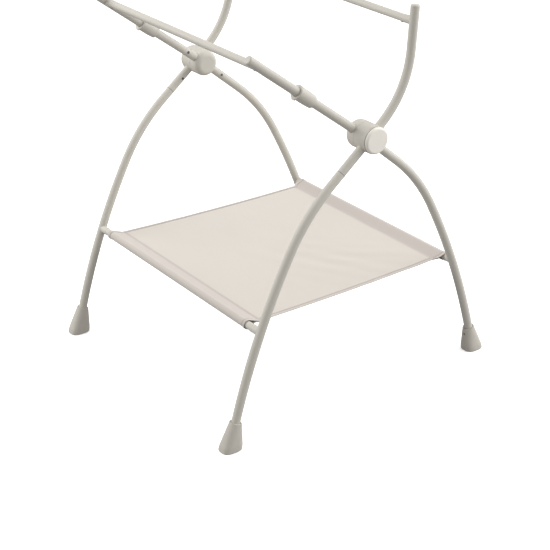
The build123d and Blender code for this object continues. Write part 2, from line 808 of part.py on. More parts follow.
# fasteners and rings at the hubs and feet
save(pivot_bolts(), "pivot_bolts")
save(pivot_nuts(), "pivot_nuts")
spacer_length = plane_step - 2 * core_half
save(hub_rings(inner_x + core_half, spacer_length, spacer_d, bolt_hole_d), "hub_spacers")
nut_side = inner_x - core_half - washer_height
with BuildPart() as washers:
    for seat in (outer_x + core_half, nut_side):
        add(hub_rings(seat, washer_height, washer_d, bolt_hole_d).part)
save(washers, "pivot_washers")
outer_places = ((outer_x, REAR, rear_arm_slope, short_rivet_at),)
inner_places = (
    (inner_x, REAR, -leg_slope, rivet_at),
    (inner_x, FRONT, front_arm_slope, rivet_at),
)
save(rivets(outer_places), "outer_frame_rivets")
save(rivets(inner_places), "inner_frame_rivets")
save(foot_screws(outer_x, FRONT), "front_foot_screws")
save(foot_screws(inner_x, REAR), "rear_foot_screws")

# shelf bars, top rails and arm ends
bar_out, bar_slope = leg_at(bar_z)
front_leg_way = along(FRONT, -bar_slope)
rear_leg_way = along(REAR, -bar_slope)
crossbar_fittings(
    "front_shelf_bar", outer_x, -bar_out, bar_z, front_leg_way, outer_socket_length, outer_screw_at
)
crossbar_fittings(
    "rear_shelf_bar", inner_x, bar_out, bar_z, rear_leg_way, inner_socket_length, inner_screw_at
)
rail_y, rail_z = from_hub(FRONT, front_arm_slope, front_rail_at)
front_arm_way = along(FRONT, front_arm_slope)
crossbar_fittings(
    "front_top_rail", inner_x, rail_y, rail_z, front_arm_way, inner_socket_length, inner_screw_at
)
rear_arm_way = along(REAR, rear_arm_top_slope)
crossbar_fittings(
    "rear_top_rail",
    outer_x,
    rear_arm_at(rear_rail_height),
    rear_rail_height,
    rear_arm_way,
    outer_socket_length,
    outer_screw_at,
)
front_end_y, front_end_z = from_hub(FRONT, front_arm_slope, front_arm_length)
save(end_caps(inner_x, front_end_y, front_end_z, front_arm_way), "front_arm_caps")
rear_end_y = rear_arm_at(rear_arm_height)
save(end_caps(outer_x, rear_end_y, rear_arm_height, rear_arm_way), "rear_arm_caps")

# fabric shelf
save(shelf_sleeve(shelf_front_half, FRONT), "front_shelf_sleeve")
save(shelf_sleeve(shelf_rear_half, REAR), "rear_shelf_sleeve")
save(shelf_panel(), "shelf_panel")
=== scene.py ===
"""Folding stand with a fabric shelf: finishes, sewn cloth, fasteners, lights and camera.

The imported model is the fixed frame. Everything here is built round it, in metres.
"""

import json
import math

import bmesh
import bpy
import numpy as np
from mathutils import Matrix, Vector


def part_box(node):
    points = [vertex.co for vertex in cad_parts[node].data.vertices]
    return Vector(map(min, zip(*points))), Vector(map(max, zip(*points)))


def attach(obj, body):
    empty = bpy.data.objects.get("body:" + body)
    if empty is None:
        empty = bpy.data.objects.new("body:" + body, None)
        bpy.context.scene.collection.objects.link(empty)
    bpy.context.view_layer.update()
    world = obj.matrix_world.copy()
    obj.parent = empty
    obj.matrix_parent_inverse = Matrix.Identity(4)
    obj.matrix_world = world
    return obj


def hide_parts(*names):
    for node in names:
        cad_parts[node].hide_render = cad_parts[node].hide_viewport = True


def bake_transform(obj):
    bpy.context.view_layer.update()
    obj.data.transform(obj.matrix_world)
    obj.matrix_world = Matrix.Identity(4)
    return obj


bl_info = {
    "name": "Folding stand",
    "version": (1, 0, 0),
    "blender": (4, 5, 0),
    "location": "View3D > Sidebar > Stand",
    "description": "Finishes a folding stand: painted tubes, moulded fittings and a sewn shelf",
    "category": "Add Mesh",
}

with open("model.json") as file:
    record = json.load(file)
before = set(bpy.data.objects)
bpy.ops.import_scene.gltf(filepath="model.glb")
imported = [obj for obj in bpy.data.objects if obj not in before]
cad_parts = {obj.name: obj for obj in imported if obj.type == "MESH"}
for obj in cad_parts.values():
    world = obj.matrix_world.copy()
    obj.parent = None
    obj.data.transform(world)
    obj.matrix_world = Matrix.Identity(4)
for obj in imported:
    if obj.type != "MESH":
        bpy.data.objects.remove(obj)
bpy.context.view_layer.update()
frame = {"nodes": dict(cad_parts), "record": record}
OUTER, INNER = "outer_frame", "inner_frame"
STITCHING = ("front_seam_stitches", "rear_seam_stitches", "side_hem_stitches")

# Sizes and places that no setting holds, in metres
SEAM_INSETS = (0.0032, 0.0072)  # from a sleeve's seam to its two rows of stitches
SLEEVE_GAP = 0.0003  # between a shelf bar and the sleeve's inner layer
SLEEVE_SLACK = 0.0012  # how far a sleeve's lower layer bows up
STITCH_LINE_STEPS = 96
RIPPLES = (  # centre x and y, spread, turn, distance between ripples, strength
    (0.14, 0.06, 0.055, 0.5, 0.052, 1.0),
    (0.16, 0.15, 0.05, 0.9, 0.044, 0.8),
    (0.03, 0.02, 0.09, 0.35, 0.085, 0.45),
    (-0.13, -0.11, 0.08, -0.4, 0.075, 0.4),
    (0.21, 0.19, 0.05, 0.75, 0.12, 2.0),
)
LEG_SLOPE = math.radians(39.4)  # the front leg's slope at its joint
SCREW_SIDES, RING_SIDES = 48, 64
RING_TONGUE_HALF, RING_TONGUE_DEPTH = 0.00015, 0.0011  # the part of a ring inside its joint
RING_CLEARANCE = 0.00002  # between a ring and the tube
JOINT_MIDDLE = 0.0002  # past the end of the leg's upper tube
DUST_HEIGHT = 0.14  # above the floor, where the dust ends
LAMP_SIZE = 2.6
LAMP_AIM = (0.0, 0.0, 0.4)
BACK_LAMP_PLACE = (0.5, 2.6, 1.75)
KEY_LAMP_OFFSET = (-2.5, 0.5, 1.6)  # right, ahead and up from the point that the lamps face
FILL_LAMP_OFFSET = (2.7, -0.2, 1.3)

# Colours that no setting holds
DUST_COLOUR = (0.47, 0.44, 0.40)
TWO_LAYER_SHADE_TINT = (0.86, 0.84, 0.85)  # painted shade: two layers of cloth let less light through than one
PALE_GREY = (0.565, 0.539, 0.482)  # the default of the paint and the moulded fittings


# ---- settings -----------------------------------------


def middle(node):
    """The middle of a CAD node's box."""
    low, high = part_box(node)
    return (low + high) / 2


def length_setting(label, text, default):
    return bpy.props.FloatProperty(
        name=label, description=text, default=default, min=0.0, unit="LENGTH", precision=5
    )


def number_setting(label, text, default, **limits):
    return bpy.props.FloatProperty(name=label, description=text, default=default, **limits)


def colour_setting(label, text, default):
    return bpy.props.FloatVectorProperty(
        name=label, description=text, default=default, size=3, min=0.0, max=1.0, subtype="COLOR"
    )


class StandShelfSettings(bpy.types.PropertyGroup):
    """Sizes of the sewn shelf."""

    thickness: length_setting("Cloth thickness", "One layer of the shelf's cloth", 0.0005)
    layer_pitch: length_setting("Layer pitch", "From one layer's middle to the next", 0.00062)
    hem_width: length_setting("Hem width", "Cloth turned under along each side", 0.009)
    seam_allowance: length_setting("Seam allowance", "Cloth past each sleeve's seam", 0.009)
    hem_welt: length_setting("Hem welt", "How far each side's hem stands up", 0.0013)
    hem_drop: length_setting("Hem drop", "How far each side's edge curls down", 0.0010)
    groove: length_setting("Groove depth", "How deep the sewn lines press the cloth", 0.0010)
    groove_width: length_setting("Groove width", "Half the width of a sewn line's groove", 0.0012)
    hem_bulge: length_setting("Hem bulge", "How much fuller a sleeve's hemmed end is", 0.0008)
    rear_reach: length_setting("Rear reach", "Top of the rear sleeve past its underside", 0.0060)
    sag: length_setting("Sag", "How far the middle of the shelf hangs", 0.0032)
    wrinkle: length_setting("Wrinkle height", "Height of the soft ripples in the cloth", 0.0007)
    stitch_pitch: length_setting("Stitch pitch", "From one stitch to the next", 0.0034)
    stitch_length: length_setting("Stitch length", "Thread that shows in one stitch", 0.0026)
    thread_width: length_setting("Thread width", "Width of the sewing thread", 0.0005)


class StandFinishSettings(bpy.types.PropertyGroup):
    """Colours of the stand's finishes."""

    paint: colour_setting("Paint", "Powder coat on the tubes", PALE_GREY)
    hub: colour_setting("Hub plastic", "Moulded hub shells", PALE_GREY)
    fitting: colour_setting("Fitting plastic", "Collars, sockets and end caps", PALE_GREY)
    cap: colour_setting("Hub cap", "Round caps on the hubs", (0.84, 0.80, 0.725))
    foot: colour_setting("Foot plastic", "Moulded feet", (0.535, 0.505, 0.449))
    fabric: colour_setting("Shelf cloth", "Woven shelf cloth", (0.560, 0.517, 0.468))
    thread: colour_setting("Thread", "Sewing thread", (0.49, 0.45, 0.41))
    screw: colour_setting("Screws", "Plated screws and rivets", (0.20, 0.195, 0.19))


class StandFastenerSettings(bpy.types.PropertyGroup):
    """Sizes of the screw heads and the joint rings."""

    head_radius: length_setting("Head radius", "Radius of a screw's pan head", 0.0029)
    head_height: length_setting("Head height", "Height of a screw's pan head", 0.0018)
    shank_radius: length_setting("Shank radius", "Radius of a screw's shank", 0.0015)
    shank_length: length_setting("Shank length", "Length of a screw below its head", 0.0068)
    recess_width: length_setting("Recess width", "Width of the cross recess", 0.0009)
    recess_depth: length_setting("Recess depth", "Depth of the cross recess", 0.0009)
    ring_width: length_setting("Ring width", "Width of the ring in the leg's joint", 0.0009)
    ring_proud: length_setting("Ring height", "How far the ring stands above the tube", 0.0001)


class StandStageSettings(bpy.types.PropertyGroup):
    """The camera, the floor and the lights."""

    azimuth: number_setting(
        "Azimuth", "Camera's turn from the front", math.radians(54.07), unit="ROTATION"
    )
    elevation: number_setting(
        "Elevation", "Camera's angle above the horizon", math.radians(26.03), unit="ROTATION"
    )
    lens: number_setting("Lens", "Focal length in millimetres", 96.11, min=10.0)
    station: bpy.props.FloatVectorProperty(
        name="Camera position", description="Where the camera stands",
        default=(2.4400, -1.7733, 1.6464), size=3, unit="LENGTH",
    )
    floor_size: length_setting("Floor size", "Side of the plain floor", 60.0)
    floor_tone: number_setting(
        "Floor tone", "Brightness of the floor's colour", 0.92, min=0.0, max=1.0
    )
    floor_bounce: number_setting(
        "Floor bounce", "Share of light the floor throws back up", 0.30, min=0.0, max=1.0
    )
    floor_lift: number_setting(
        "Floor lift", "Brightness added so that the floor reads as plain white", 0.50, min=0.0
    )
    sky: number_setting("Surround", "Strength of the even light all round", 0.71, min=0.0)
    key_power: number_setting(
        "Key light", "Power of the large soft light on the left", 65.0, min=0.0
    )
    back_power: number_setting(
        "Back light", "Power of the large soft light behind", 38.0, min=0.0
    )
    fill_power: number_setting(
        "Fill light", "Power of the large soft light on the right", 50.0, min=0.0
    )


# ---- shader helpers -----------------------------------


def set_values(node, **sockets):
    """Plain values on a node's named sockets."""
    for name, value in sockets.items():
        node.inputs[name.replace("_", " ")].default_value = value


def add_node(tree, kind, settings=(), **sockets):
    """A node with attributes from settings and plain values on its named sockets."""
    made = tree.nodes.new(kind)
    for name, value in dict(settings).items():
        setattr(made, name, value)
    set_values(made, **sockets)
    return made


def shader_group(name, inputs, outputs):
    """An empty shader group with named sockets, and its two ends."""
    tree = bpy.data.node_groups.new(name, "ShaderNodeTree")
    for label, kind, default in inputs:
        socket = tree.interface.new_socket(label, in_out="INPUT", socket_type=kind)
        if default is not None:
            socket.default_value = default
    for label, kind in outputs:
        tree.interface.new_socket(label, in_out="OUTPUT", socket_type=kind)
    return tree, tree.nodes.new("NodeGroupInput"), tree.nodes.new("NodeGroupOutput")


def mixed(tree, factor, first, second):
    """A colour mix. Each of first and second is a socket or a plain colour."""
    mix = tree.nodes.new("ShaderNodeMix")
    mix.data_type = "RGBA"
    tree.links.new(factor, mix.inputs[0])
    for socket, value in ((mix.inputs[6], first), (mix.inputs[7], second)):
        if isinstance(value, bpy.types.NodeSocket):
            tree.links.new(value, socket)
        else:
            socket.default_value = (*value, 1.0)
    return mix.outputs[2]


def fine_grain_group():
    """Fine moulded or sprayed grain, with a broad soft mottle."""
    tree, ends_in, ends_out = shader_group(
        "fine grain",
        (("Vector", "NodeSocketVector", None), ("Grain scale", "NodeSocketFloat", 900.0),
         ("Mottle scale", "NodeSocketFloat", 14.0)),
        (("Height", "NodeSocketFloat"), ("Mottle", "NodeSocketFloat")),
    )
    link = tree.links.new
    grain = add_node(tree, "ShaderNodeTexNoise", Detail=3.0, Roughness=0.6)
    mottle = add_node(tree, "ShaderNodeTexNoise", Detail=2.0, Roughness=0.5)
    for texture, scale in ((grain, "Grain scale"), (mottle, "Mottle scale")):
        link(ends_in.outputs["Vector"], texture.inputs["Vector"])
        link(ends_in.outputs[scale], texture.inputs["Scale"])
    link(grain.outputs["Fac"], ends_out.inputs["Height"])
    link(mottle.outputs["Fac"], ends_out.inputs["Mottle"])
    return tree


def floor_dust_group():
    """A mask of faint dust that thins out with height above the floor."""
    tree, ends_in, ends_out = shader_group(
        "floor dust",
        (("Vector", "NodeSocketVector", None), ("Top", "NodeSocketFloat", 0.12)),
        (("Mask", "NodeSocketFloat"),),
    )
    link = tree.links.new
    split = tree.nodes.new("ShaderNodeSeparateXYZ")
    link(ends_in.outputs["Vector"], split.inputs[0])
    fade = add_node(
        tree, "ShaderNodeMapRange", {"interpolation_type": "SMOOTHSTEP"}, To_Min=1.0, To_Max=0.0
    )
    link(split.outputs["Z"], fade.inputs["Value"])
    link(ends_in.outputs["Top"], fade.inputs["From Max"])
    specks = add_node(tree, "ShaderNodeTexNoise", Scale=85.0, Detail=4.0, Roughness=0.65)
    link(ends_in.outputs["Vector"], specks.inputs["Vector"])
    patchy = add_node(tree, "ShaderNodeMapRange", From_Min=0.42, From_Max=0.68)
    link(specks.outputs["Fac"], patchy.inputs["Value"])
    product = add_node(tree, "ShaderNodeMath", {"operation": "MULTIPLY"})
    link(fade.outputs[0], product.inputs[0])
    link(patchy.outputs[0], product.inputs[1])
    link(product.outputs[0], ends_out.inputs["Mask"])
    return tree


def plain_weave_group():
    """Over-and-under threads on a map in metres: their height, and how each thread differs."""
    tree, ends_in, ends_out = shader_group(
        "plain weave",
        (("Vector", "NodeSocketVector", None), ("Threads per metre", "NodeSocketFloat", 1400.0)),
        (("Height", "NodeSocketFloat"), ("Slub", "NodeSocketFloat")),
    )
    link = tree.links.new
    count = add_node(tree, "ShaderNodeVectorMath", {"operation": "SCALE"})
    link(ends_in.outputs["Vector"], count.inputs[0])
    link(ends_in.outputs["Threads per metre"], count.inputs["Scale"])
    split = tree.nodes.new("ShaderNodeSeparateXYZ")
    link(count.outputs[0], split.inputs[0])
    waves = []
    for axis in ("X", "Y"):
        turn = add_node(tree, "ShaderNodeMath", {"operation": "MULTIPLY"})
        turn.inputs[1].default_value = math.pi
        link(split.outputs[axis], turn.inputs[0])
        wave = add_node(tree, "ShaderNodeMath", {"operation": "SINE"})
        link(turn.outputs[0], wave.inputs[0])
        waves.append(wave)
    weave = add_node(tree, "ShaderNodeMath", {"operation": "MULTIPLY"})
    link(waves[0].outputs[0], weave.inputs[0])
    link(waves[1].outputs[0], weave.inputs[1])
    lifted = add_node(tree, "ShaderNodeMapRange", From_Min=-1.0, From_Max=1.0)
    link(weave.outputs[0], lifted.inputs["Value"])
    stretch = add_node(tree, "ShaderNodeMapping")
    stretch.inputs["Scale"].default_value = (14.0, 260.0, 1.0)
    link(ends_in.outputs["Vector"], stretch.inputs["Vector"])
    slub = add_node(tree, "ShaderNodeTexNoise", Scale=1.0, Detail=2.0, Roughness=0.6)
    link(stretch.outputs[0], slub.inputs["Vector"])
    link(lifted.outputs[0], ends_out.inputs["Height"])
    link(slub.outputs["Fac"], ends_out.inputs["Slub"])
    return tree


def shared_group(name):
    """The shader group of that name, built the first time it is asked for."""
    makers = {
        "fine grain": fine_grain_group,
        "floor dust": floor_dust_group,
        "plain weave": plain_weave_group,
    }
    return bpy.data.node_groups.get(name) or makers[name]()


def place_group(tree, name, vector, **values):
    """A shared shader group in a material, with its vector linked and its values set."""
    made = tree.nodes.new("ShaderNodeGroup")
    made.node_tree = shared_group(name)
    tree.links.new(vector, made.inputs["Vector"])
    set_values(made, **values)
    return made


def tint(colour, factor):
    """A colour made darker or paler."""
    return tuple(min(1.0, c * factor) for c in colour)


def new_material(name):
    """A material, its tree and its main shader."""
    made = bpy.data.materials.new(name)
    made.use_nodes = True
    return made, made.node_tree, made.node_tree.nodes["Principled BSDF"]


def add_bump(tree, shader, height, strength, distance):
    """Raises a height on a shader's surface."""
    bump = add_node(tree, "ShaderNodeBump", Strength=strength, Distance=distance)
    tree.links.new(height, bump.inputs["Height"])
    tree.links.new(bump.outputs["Normal"], shader.inputs["Normal"])


def coated(name, colour, rough, grain_scale, grain_depth, dust=0.0, metal=0.0, coat=0.0,
           specular=0.5):
    """Painted metal, plated metal or moulded plastic, with grain, mottle and floor dust."""
    made, tree, shader = new_material(name)
    link = tree.links.new
    place = tree.nodes.new("ShaderNodeTexCoord").outputs["Object"]
    grain = place_group(tree, "fine grain", place, Grain_scale=grain_scale)
    base = mixed(tree, grain.outputs["Mottle"], tint(colour, 0.965), tint(colour, 1.03))
    if dust:
        dusty = place_group(tree, "floor dust", place, Top=DUST_HEIGHT)
        share = add_node(tree, "ShaderNodeMath", {"operation": "MULTIPLY"})
        share.inputs[1].default_value = dust
        link(dusty.outputs["Mask"], share.inputs[0])
        base = mixed(tree, share.outputs[0], base, DUST_COLOUR)
    link(base, shader.inputs["Base Color"])
    spread = add_node(tree, "ShaderNodeMapRange", To_Min=rough - 0.05, To_Max=rough + 0.06)
    link(grain.outputs["Mottle"], spread.inputs["Value"])
    link(spread.outputs[0], shader.inputs["Roughness"])
    set_values(
        shader, Metallic=metal, Coat_Weight=coat, Coat_Roughness=0.25, Specular_IOR_Level=specular
    )
    add_bump(tree, shader, grain.outputs["Height"], 0.35, grain_depth)
    return made


def shelf_cloth_finish(name, fabric):
    """Woven polyester, with painted shade: the sleeves and hems are tinted darker because one layer
    lets more light through than they do, and the cloth darkens along sewn grooves.
    """
    made, tree, shader = new_material(name)
    place = tree.nodes.new("ShaderNodeUVMap")
    place.uv_map = "cloth"
    weave = place_group(tree, "plain weave", place.outputs[0])
    grain = place_group(
        tree, "fine grain", tree.nodes.new("ShaderNodeTexCoord").outputs["Object"],
        Grain_scale=700.0, Mottle_scale=6.0,
    )
    # Painted shade: the sleeves and hems take a darker tint in place of the light that shines
    # through one layer but not through two.
    layers = add_node(tree, "ShaderNodeAttribute", {"attribute_name": "doubled"})
    single = mixed(tree, weave.outputs["Slub"], tint(fabric, 0.975), tint(fabric, 1.02))
    two_layer_shade_colour = tuple(c * f for c, f in zip(fabric, TWO_LAYER_SHADE_TINT))
    cloth = mixed(tree, layers.outputs["Fac"], single, two_layer_shade_colour)
    # Painted shade: darker along each sewn groove, where shade falls.
    groove_shade_mask = add_node(tree, "ShaderNodeAttribute", {"attribute_name": "crease"})
    cloth = mixed(tree, groove_shade_mask.outputs["Fac"], cloth, tint(fabric, 0.50))
    soft = add_node(tree, "ShaderNodeMapRange", To_Min=0.0, To_Max=0.30)
    tree.links.new(grain.outputs["Mottle"], soft.inputs["Value"])
    aired = mixed(tree, soft.outputs[0], cloth, tint(fabric, 0.93))
    tree.links.new(aired, shader.inputs["Base Color"])
    set_values(
        shader, Roughness=0.82, Sheen_Weight=0.25, Sheen_Roughness=0.45, Specular_IOR_Level=0.2
    )
    add_bump(tree, shader, weave.outputs["Height"], 0.25, 0.00008)
    return made


def sewing_thread_finish(name, thread):
    """Twisted polyester thread."""
    made, tree, shader = new_material(name)
    place = tree.nodes.new("ShaderNodeTexCoord").outputs["Object"]
    grain = place_group(tree, "fine grain", place, Grain_scale=2600.0, Mottle_scale=60.0)
    base = mixed(tree, grain.outputs["Mottle"], tint(thread, 0.92), tint(thread, 1.04))
    tree.links.new(base, shader.inputs["Base Color"])
    set_values(shader, Roughness=0.6, Sheen_Weight=0.2)
    add_bump(tree, shader, grain.outputs["Height"], 0.5, 0.00006)
    return made


# Coated finishes: the colour or the setting that holds it, roughness, grain scale, grain depth
COATED = {
    "frame_paint": ("paint", 0.50, 620.0, 0.00010, {"dust": 0.25, "specular": 0.22}),
    "hub_plastic": ("hub", 0.50, 1300.0, 0.00005, {"specular": 0.25}),
    "trim_plastic": ("fitting", 0.52, 1500.0, 0.00006, {"specular": 0.25}),
    "cap_plastic": ("cap", 0.34, 1500.0, 0.00002, {"coat": 0.08, "specular": 0.3}),
    "foot_plastic": ("foot", 0.60, 1100.0, 0.00008, {"dust": 0.35, "specular": 0.25}),
    "button_plastic": ((0.035, 0.033, 0.03), 0.42, 1500.0, 0.00004, {}),
    "spacer_plastic": ((0.03, 0.03, 0.03), 0.4, 1500.0, 0.00004, {}),
    "screw_steel": ("screw", 0.36, 1800.0, 0.00003, {"metal": 1.0}),
    "pivot_steel": ((0.58, 0.59, 0.60), 0.33, 1500.0, 0.00003, {"metal": 1.0}),
    "sleeve_steel": ((0.52, 0.52, 0.53), 0.38, 900.0, 0.00004, {"metal": 1.0}),
    "core_aluminium": ((0.66, 0.66, 0.67), 0.48, 500.0, 0.00015, {"metal": 1.0}),
    "joint_ring": ((0.10, 0.105, 0.11), 0.55, 1500.0, 0.00003, {}),
}


def finish(name):
    """The stand's finish of that name, made the first time it is asked for."""
    key = f"stand {name}"
    found = bpy.data.materials.get(key)
    if found:
        return found
    colours = bpy.context.scene.stand_finish
    if name == "shelf_cloth":
        return shelf_cloth_finish(key, colours.fabric)
    if name == "sewing_thread":
        return sewing_thread_finish(key, colours.thread)
    colour, rough, grain_scale, grain_depth, rest = COATED[name]
    if isinstance(colour, str):
        colour = getattr(colours, colour)
    return coated(key, colour, rough, grain_scale, grain_depth, **rest)


# ---- mesh helpers -------------------------------------


def node_points(node):
    """The points of a CAD node, one to a row."""
    return np.array([v.co for v in frame["nodes"][node].data.vertices], float)


def new_piece(name, mesh, material):
    """An object at the origin for a finished mesh, with one material."""
    made = bpy.data.objects.new(name, mesh)
    bpy.context.scene.collection.objects.link(made)
    mesh.materials.clear()
    mesh.materials.append(material)
    return made


def grid_mesh(name, points, closed=False):
    """Quads over rows of points. A closed grid joins each row's last point to its first."""
    rows, columns = len(points), len(points[0])
    faces = []
    across = columns if closed else columns - 1
    for r in range(rows - 1):
        for c in range(across):
            n = (c + 1) % columns
            near, far = r * columns, (r + 1) * columns
            faces.append((near + c, near + n, far + n, far + c))
    mesh = bpy.data.meshes.new(name)
    mesh.from_pydata([tuple(p) for row in points for p in row], [], faces)
    return mesh


def smooth(mesh):
    mesh.polygons.foreach_set("use_smooth", [True] * len(mesh.polygons))


def baked(made):
    """A plain mesh of the object with its modifiers, which are then removed."""
    graph = bpy.context.evaluated_depsgraph_get()
    mesh = bpy.data.meshes.new_from_object(made.evaluated_get(graph), depsgraph=graph)
    made.modifiers.clear()
    made.data = mesh
    return made


# ---- geometry node trees ------------------------------


def node_tree_for_pieces(name, inputs):
    """A geometry tree with named inputs, its group input, and its Set Material end."""
    tree = bpy.data.node_groups.new(name, "GeometryNodeTree")
    tree.interface.new_socket("Geometry", in_out="INPUT", socket_type="NodeSocketGeometry")
    for label, kind in inputs:
        tree.interface.new_socket(label, in_out="INPUT", socket_type=kind)
    tree.interface.new_socket("Finish", in_out="INPUT", socket_type="NodeSocketMaterial")
    tree.interface.new_socket("Geometry", in_out="OUTPUT", socket_type="NodeSocketGeometry")
    ends_in, ends_out = tree.nodes.new("NodeGroupInput"), tree.nodes.new("NodeGroupOutput")
    real = tree.nodes.new("GeometryNodeRealizeInstances")
    painted = tree.nodes.new("GeometryNodeSetMaterial")
    tree.links.new(real.outputs[0], painted.inputs["Geometry"])
    tree.links.new(ends_in.outputs["Finish"], painted.inputs["Material"])
    tree.links.new(painted.outputs[0], ends_out.inputs[0])
    return tree, ends_in, real


def set_on_points(tree, points, shape, way, size, real):
    """Sets a shape on every point, its Z turned to the way that the point gives."""
    turned = add_node(tree, "FunctionNodeAlignRotationToVector", {"axis": "Z"})
    placed = tree.nodes.new("GeometryNodeInstanceOnPoints")
    for source, socket in (
        (way, turned.inputs["Vector"]), (points, placed.inputs["Points"]),
        (shape, placed.inputs["Instance"]), (turned.outputs[0], placed.inputs["Rotation"]),
        (size, placed.inputs["Scale"]), (placed.outputs[0], real.inputs[0]),
    ):
        tree.links.new(source, socket)


def stitch_tree():
    """Stitches set along a line, each turned to follow it."""
    tree, ends_in, real = node_tree_for_pieces(
        "stitches along a line",
        (("Pitch", "NodeSocketFloat"), ("Length", "NodeSocketFloat"), ("Width", "NodeSocketFloat")),
    )
    link = tree.links.new
    to_curve = tree.nodes.new("GeometryNodeMeshToCurve")
    link(ends_in.outputs["Geometry"], to_curve.inputs[0])
    spaced = add_node(tree, "GeometryNodeResampleCurve", {"mode": "LENGTH"})
    link(to_curve.outputs[0], spaced.inputs["Curve"])
    link(ends_in.outputs["Pitch"], spaced.inputs["Length"])
    bead = add_node(tree, "GeometryNodeMeshUVSphere", Segments=8, Rings=6, Radius=0.5)
    size = tree.nodes.new("ShaderNodeCombineXYZ")
    link(ends_in.outputs["Width"], size.inputs["X"])
    link(ends_in.outputs["Width"], size.inputs["Y"])
    link(ends_in.outputs["Length"], size.inputs["Z"])
    along = tree.nodes.new("GeometryNodeInputTangent")
    set_on_points(
        tree, spaced.outputs[0], bead.outputs["Mesh"], along.outputs[0], size.outputs[0], real
    )
    return tree


def fastener_tree():
    """One shape set on every point, its Z turned to the point's own direction."""
    tree, ends_in, real = node_tree_for_pieces(
        "fasteners on points", (("Shape", "NodeSocketObject"), ("Size", "NodeSocketFloat"))
    )
    link = tree.links.new
    shape = tree.nodes.new("GeometryNodeObjectInfo")
    link(ends_in.outputs["Shape"], shape.inputs["Object"])
    way = add_node(
        tree, "GeometryNodeInputNamedAttribute", {"data_type": "FLOAT_VECTOR"}, Name="way_out"
    )
    set_on_points(
        tree, ends_in.outputs["Geometry"], shape.outputs["Geometry"], way.outputs["Attribute"],
        ends_in.outputs["Size"], real,
    )
    return tree


def run_tree(made, maker, values):
    """Runs a geometry tree on an object and keeps the result as a plain mesh."""
    tree = bpy.data.node_groups.get(maker.__name__) or maker()
    tree.name = maker.__name__
    modifier = made.modifiers.new("build", "NODES")
    modifier.node_group = tree
    for item in tree.interface.items_tree:
        if item.in_out == "INPUT" and item.name in values:
            modifier[item.identifier] = values[item.name]
    baked(made)
    smooth(made.data)
    return made


# ---- shelf --------------------------------------------


def shelf_plan():
    """The shelf's main places, read from the CAD bars, sleeves and panel."""
    panel_low, panel_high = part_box("shelf_panel")
    front_low, front_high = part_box("front_shelf_bar")
    rear_low, rear_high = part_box("rear_shelf_bar")
    return {
        "front_bar": ((front_low.y + front_high.y) / 2, (front_low.z + front_high.z) / 2),
        "rear_bar": ((rear_low.y + rear_high.y) / 2, (rear_low.z + rear_high.z) / 2),
        "bar_r": (front_high.z - front_low.z) / 2,
        "front_seam": panel_low.y,
        "rear_seam": panel_high.y,
        "front_half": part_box("front_shelf_sleeve")[1].x,
        "rear_half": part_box("rear_shelf_sleeve")[1].x,
    }


# How strongly each kind of place gets the painted shade of two layers of cloth
FLAT_BAND, ROUND_BAR, ALLOWANCE, HEM, SINGLE = 1.0, 0.25, 0.9, 0.55, 0.0
# How many steps each stretch of a sleeve's line has
UNDER_STEPS, LOWER_STEPS, ROUND_STEPS, TOP_STEPS = 3, 16, 36, 8
HEM_STEPS = 3  # across the cloth turned under along each side
SLACK_END, FALL_START = 0.6, 0.45  # shares of a sleeve's lower layer, from its seam
SIDE_EASE, SIDE_TURN = 0.2, 2.2  # how much less the shelf hangs near its sides, and how soon
HEM_FADE = 14  # the hems flatten over the last fourteenth before each sleeve
SEAM_FADE = 0.0015  # where a seam's groove is at its full depth
HEM_RISE = 0.002  # where a sleeve's hemmed end is at its fullest
SEAM_SHADE, HEM_SHADE_SPREAD = 0.55, 1.6  # a seam's painted groove shade is fainter, and a hem's wider


def sleeve_profile(bar, seam_y, radius, allowance, drop, way):
    """Points from the allowance under the seam, round the bar, and back to the seam on top."""
    y, z = bar
    lean = math.acos(radius / abs(seam_y - y))
    points = [
        (seam_y - way * allowance * (1 - k / UNDER_STEPS), z - drop, FLAT_BAND)
        for k in range(UNDER_STEPS)
    ]
    low_y, low_z = y - way * radius * math.cos(lean), z - radius * math.sin(lean)
    for k in range(LOWER_STEPS):
        share = k / LOWER_STEPS
        slack = SLEEVE_SLACK * math.sin(math.pi * min(1.0, share / SLACK_END))
        fall = (z - drop - low_z) * max(0.0, (share - FALL_START) / (1 - FALL_START))
        points.append((seam_y + (low_y - seam_y) * share, z - drop + slack - fall, FLAT_BAND))
    turn = 2 * (math.pi - lean)
    for k in range(ROUND_STEPS + 1):
        angle = -lean - turn * k / ROUND_STEPS
        points.append((
            y - way * radius * math.cos(angle), z + radius * math.sin(angle),
            FLAT_BAND if k in (0, ROUND_STEPS) else ROUND_BAR,
        ))
    top_y, top_z, _ = points[-1]
    for k in range(1, TOP_STEPS + 1):
        share = k / TOP_STEPS
        points.append((top_y + (seam_y - top_y) * share, top_z + (z - top_z) * share, FLAT_BAND))
    return points


def close_then_wide(length, fine, band, coarse):
    """Places along a length: close together near both ends, wider apart between them."""
    close = round(band / fine)
    wide = round((length - 2 * band) / coarse)
    start = [fine * k for k in range(close)]
    return (
        start + [band + (length - 2 * band) * k / wide for k in range(wide + 1)]
        + [length - d for d in reversed(start)]
    )


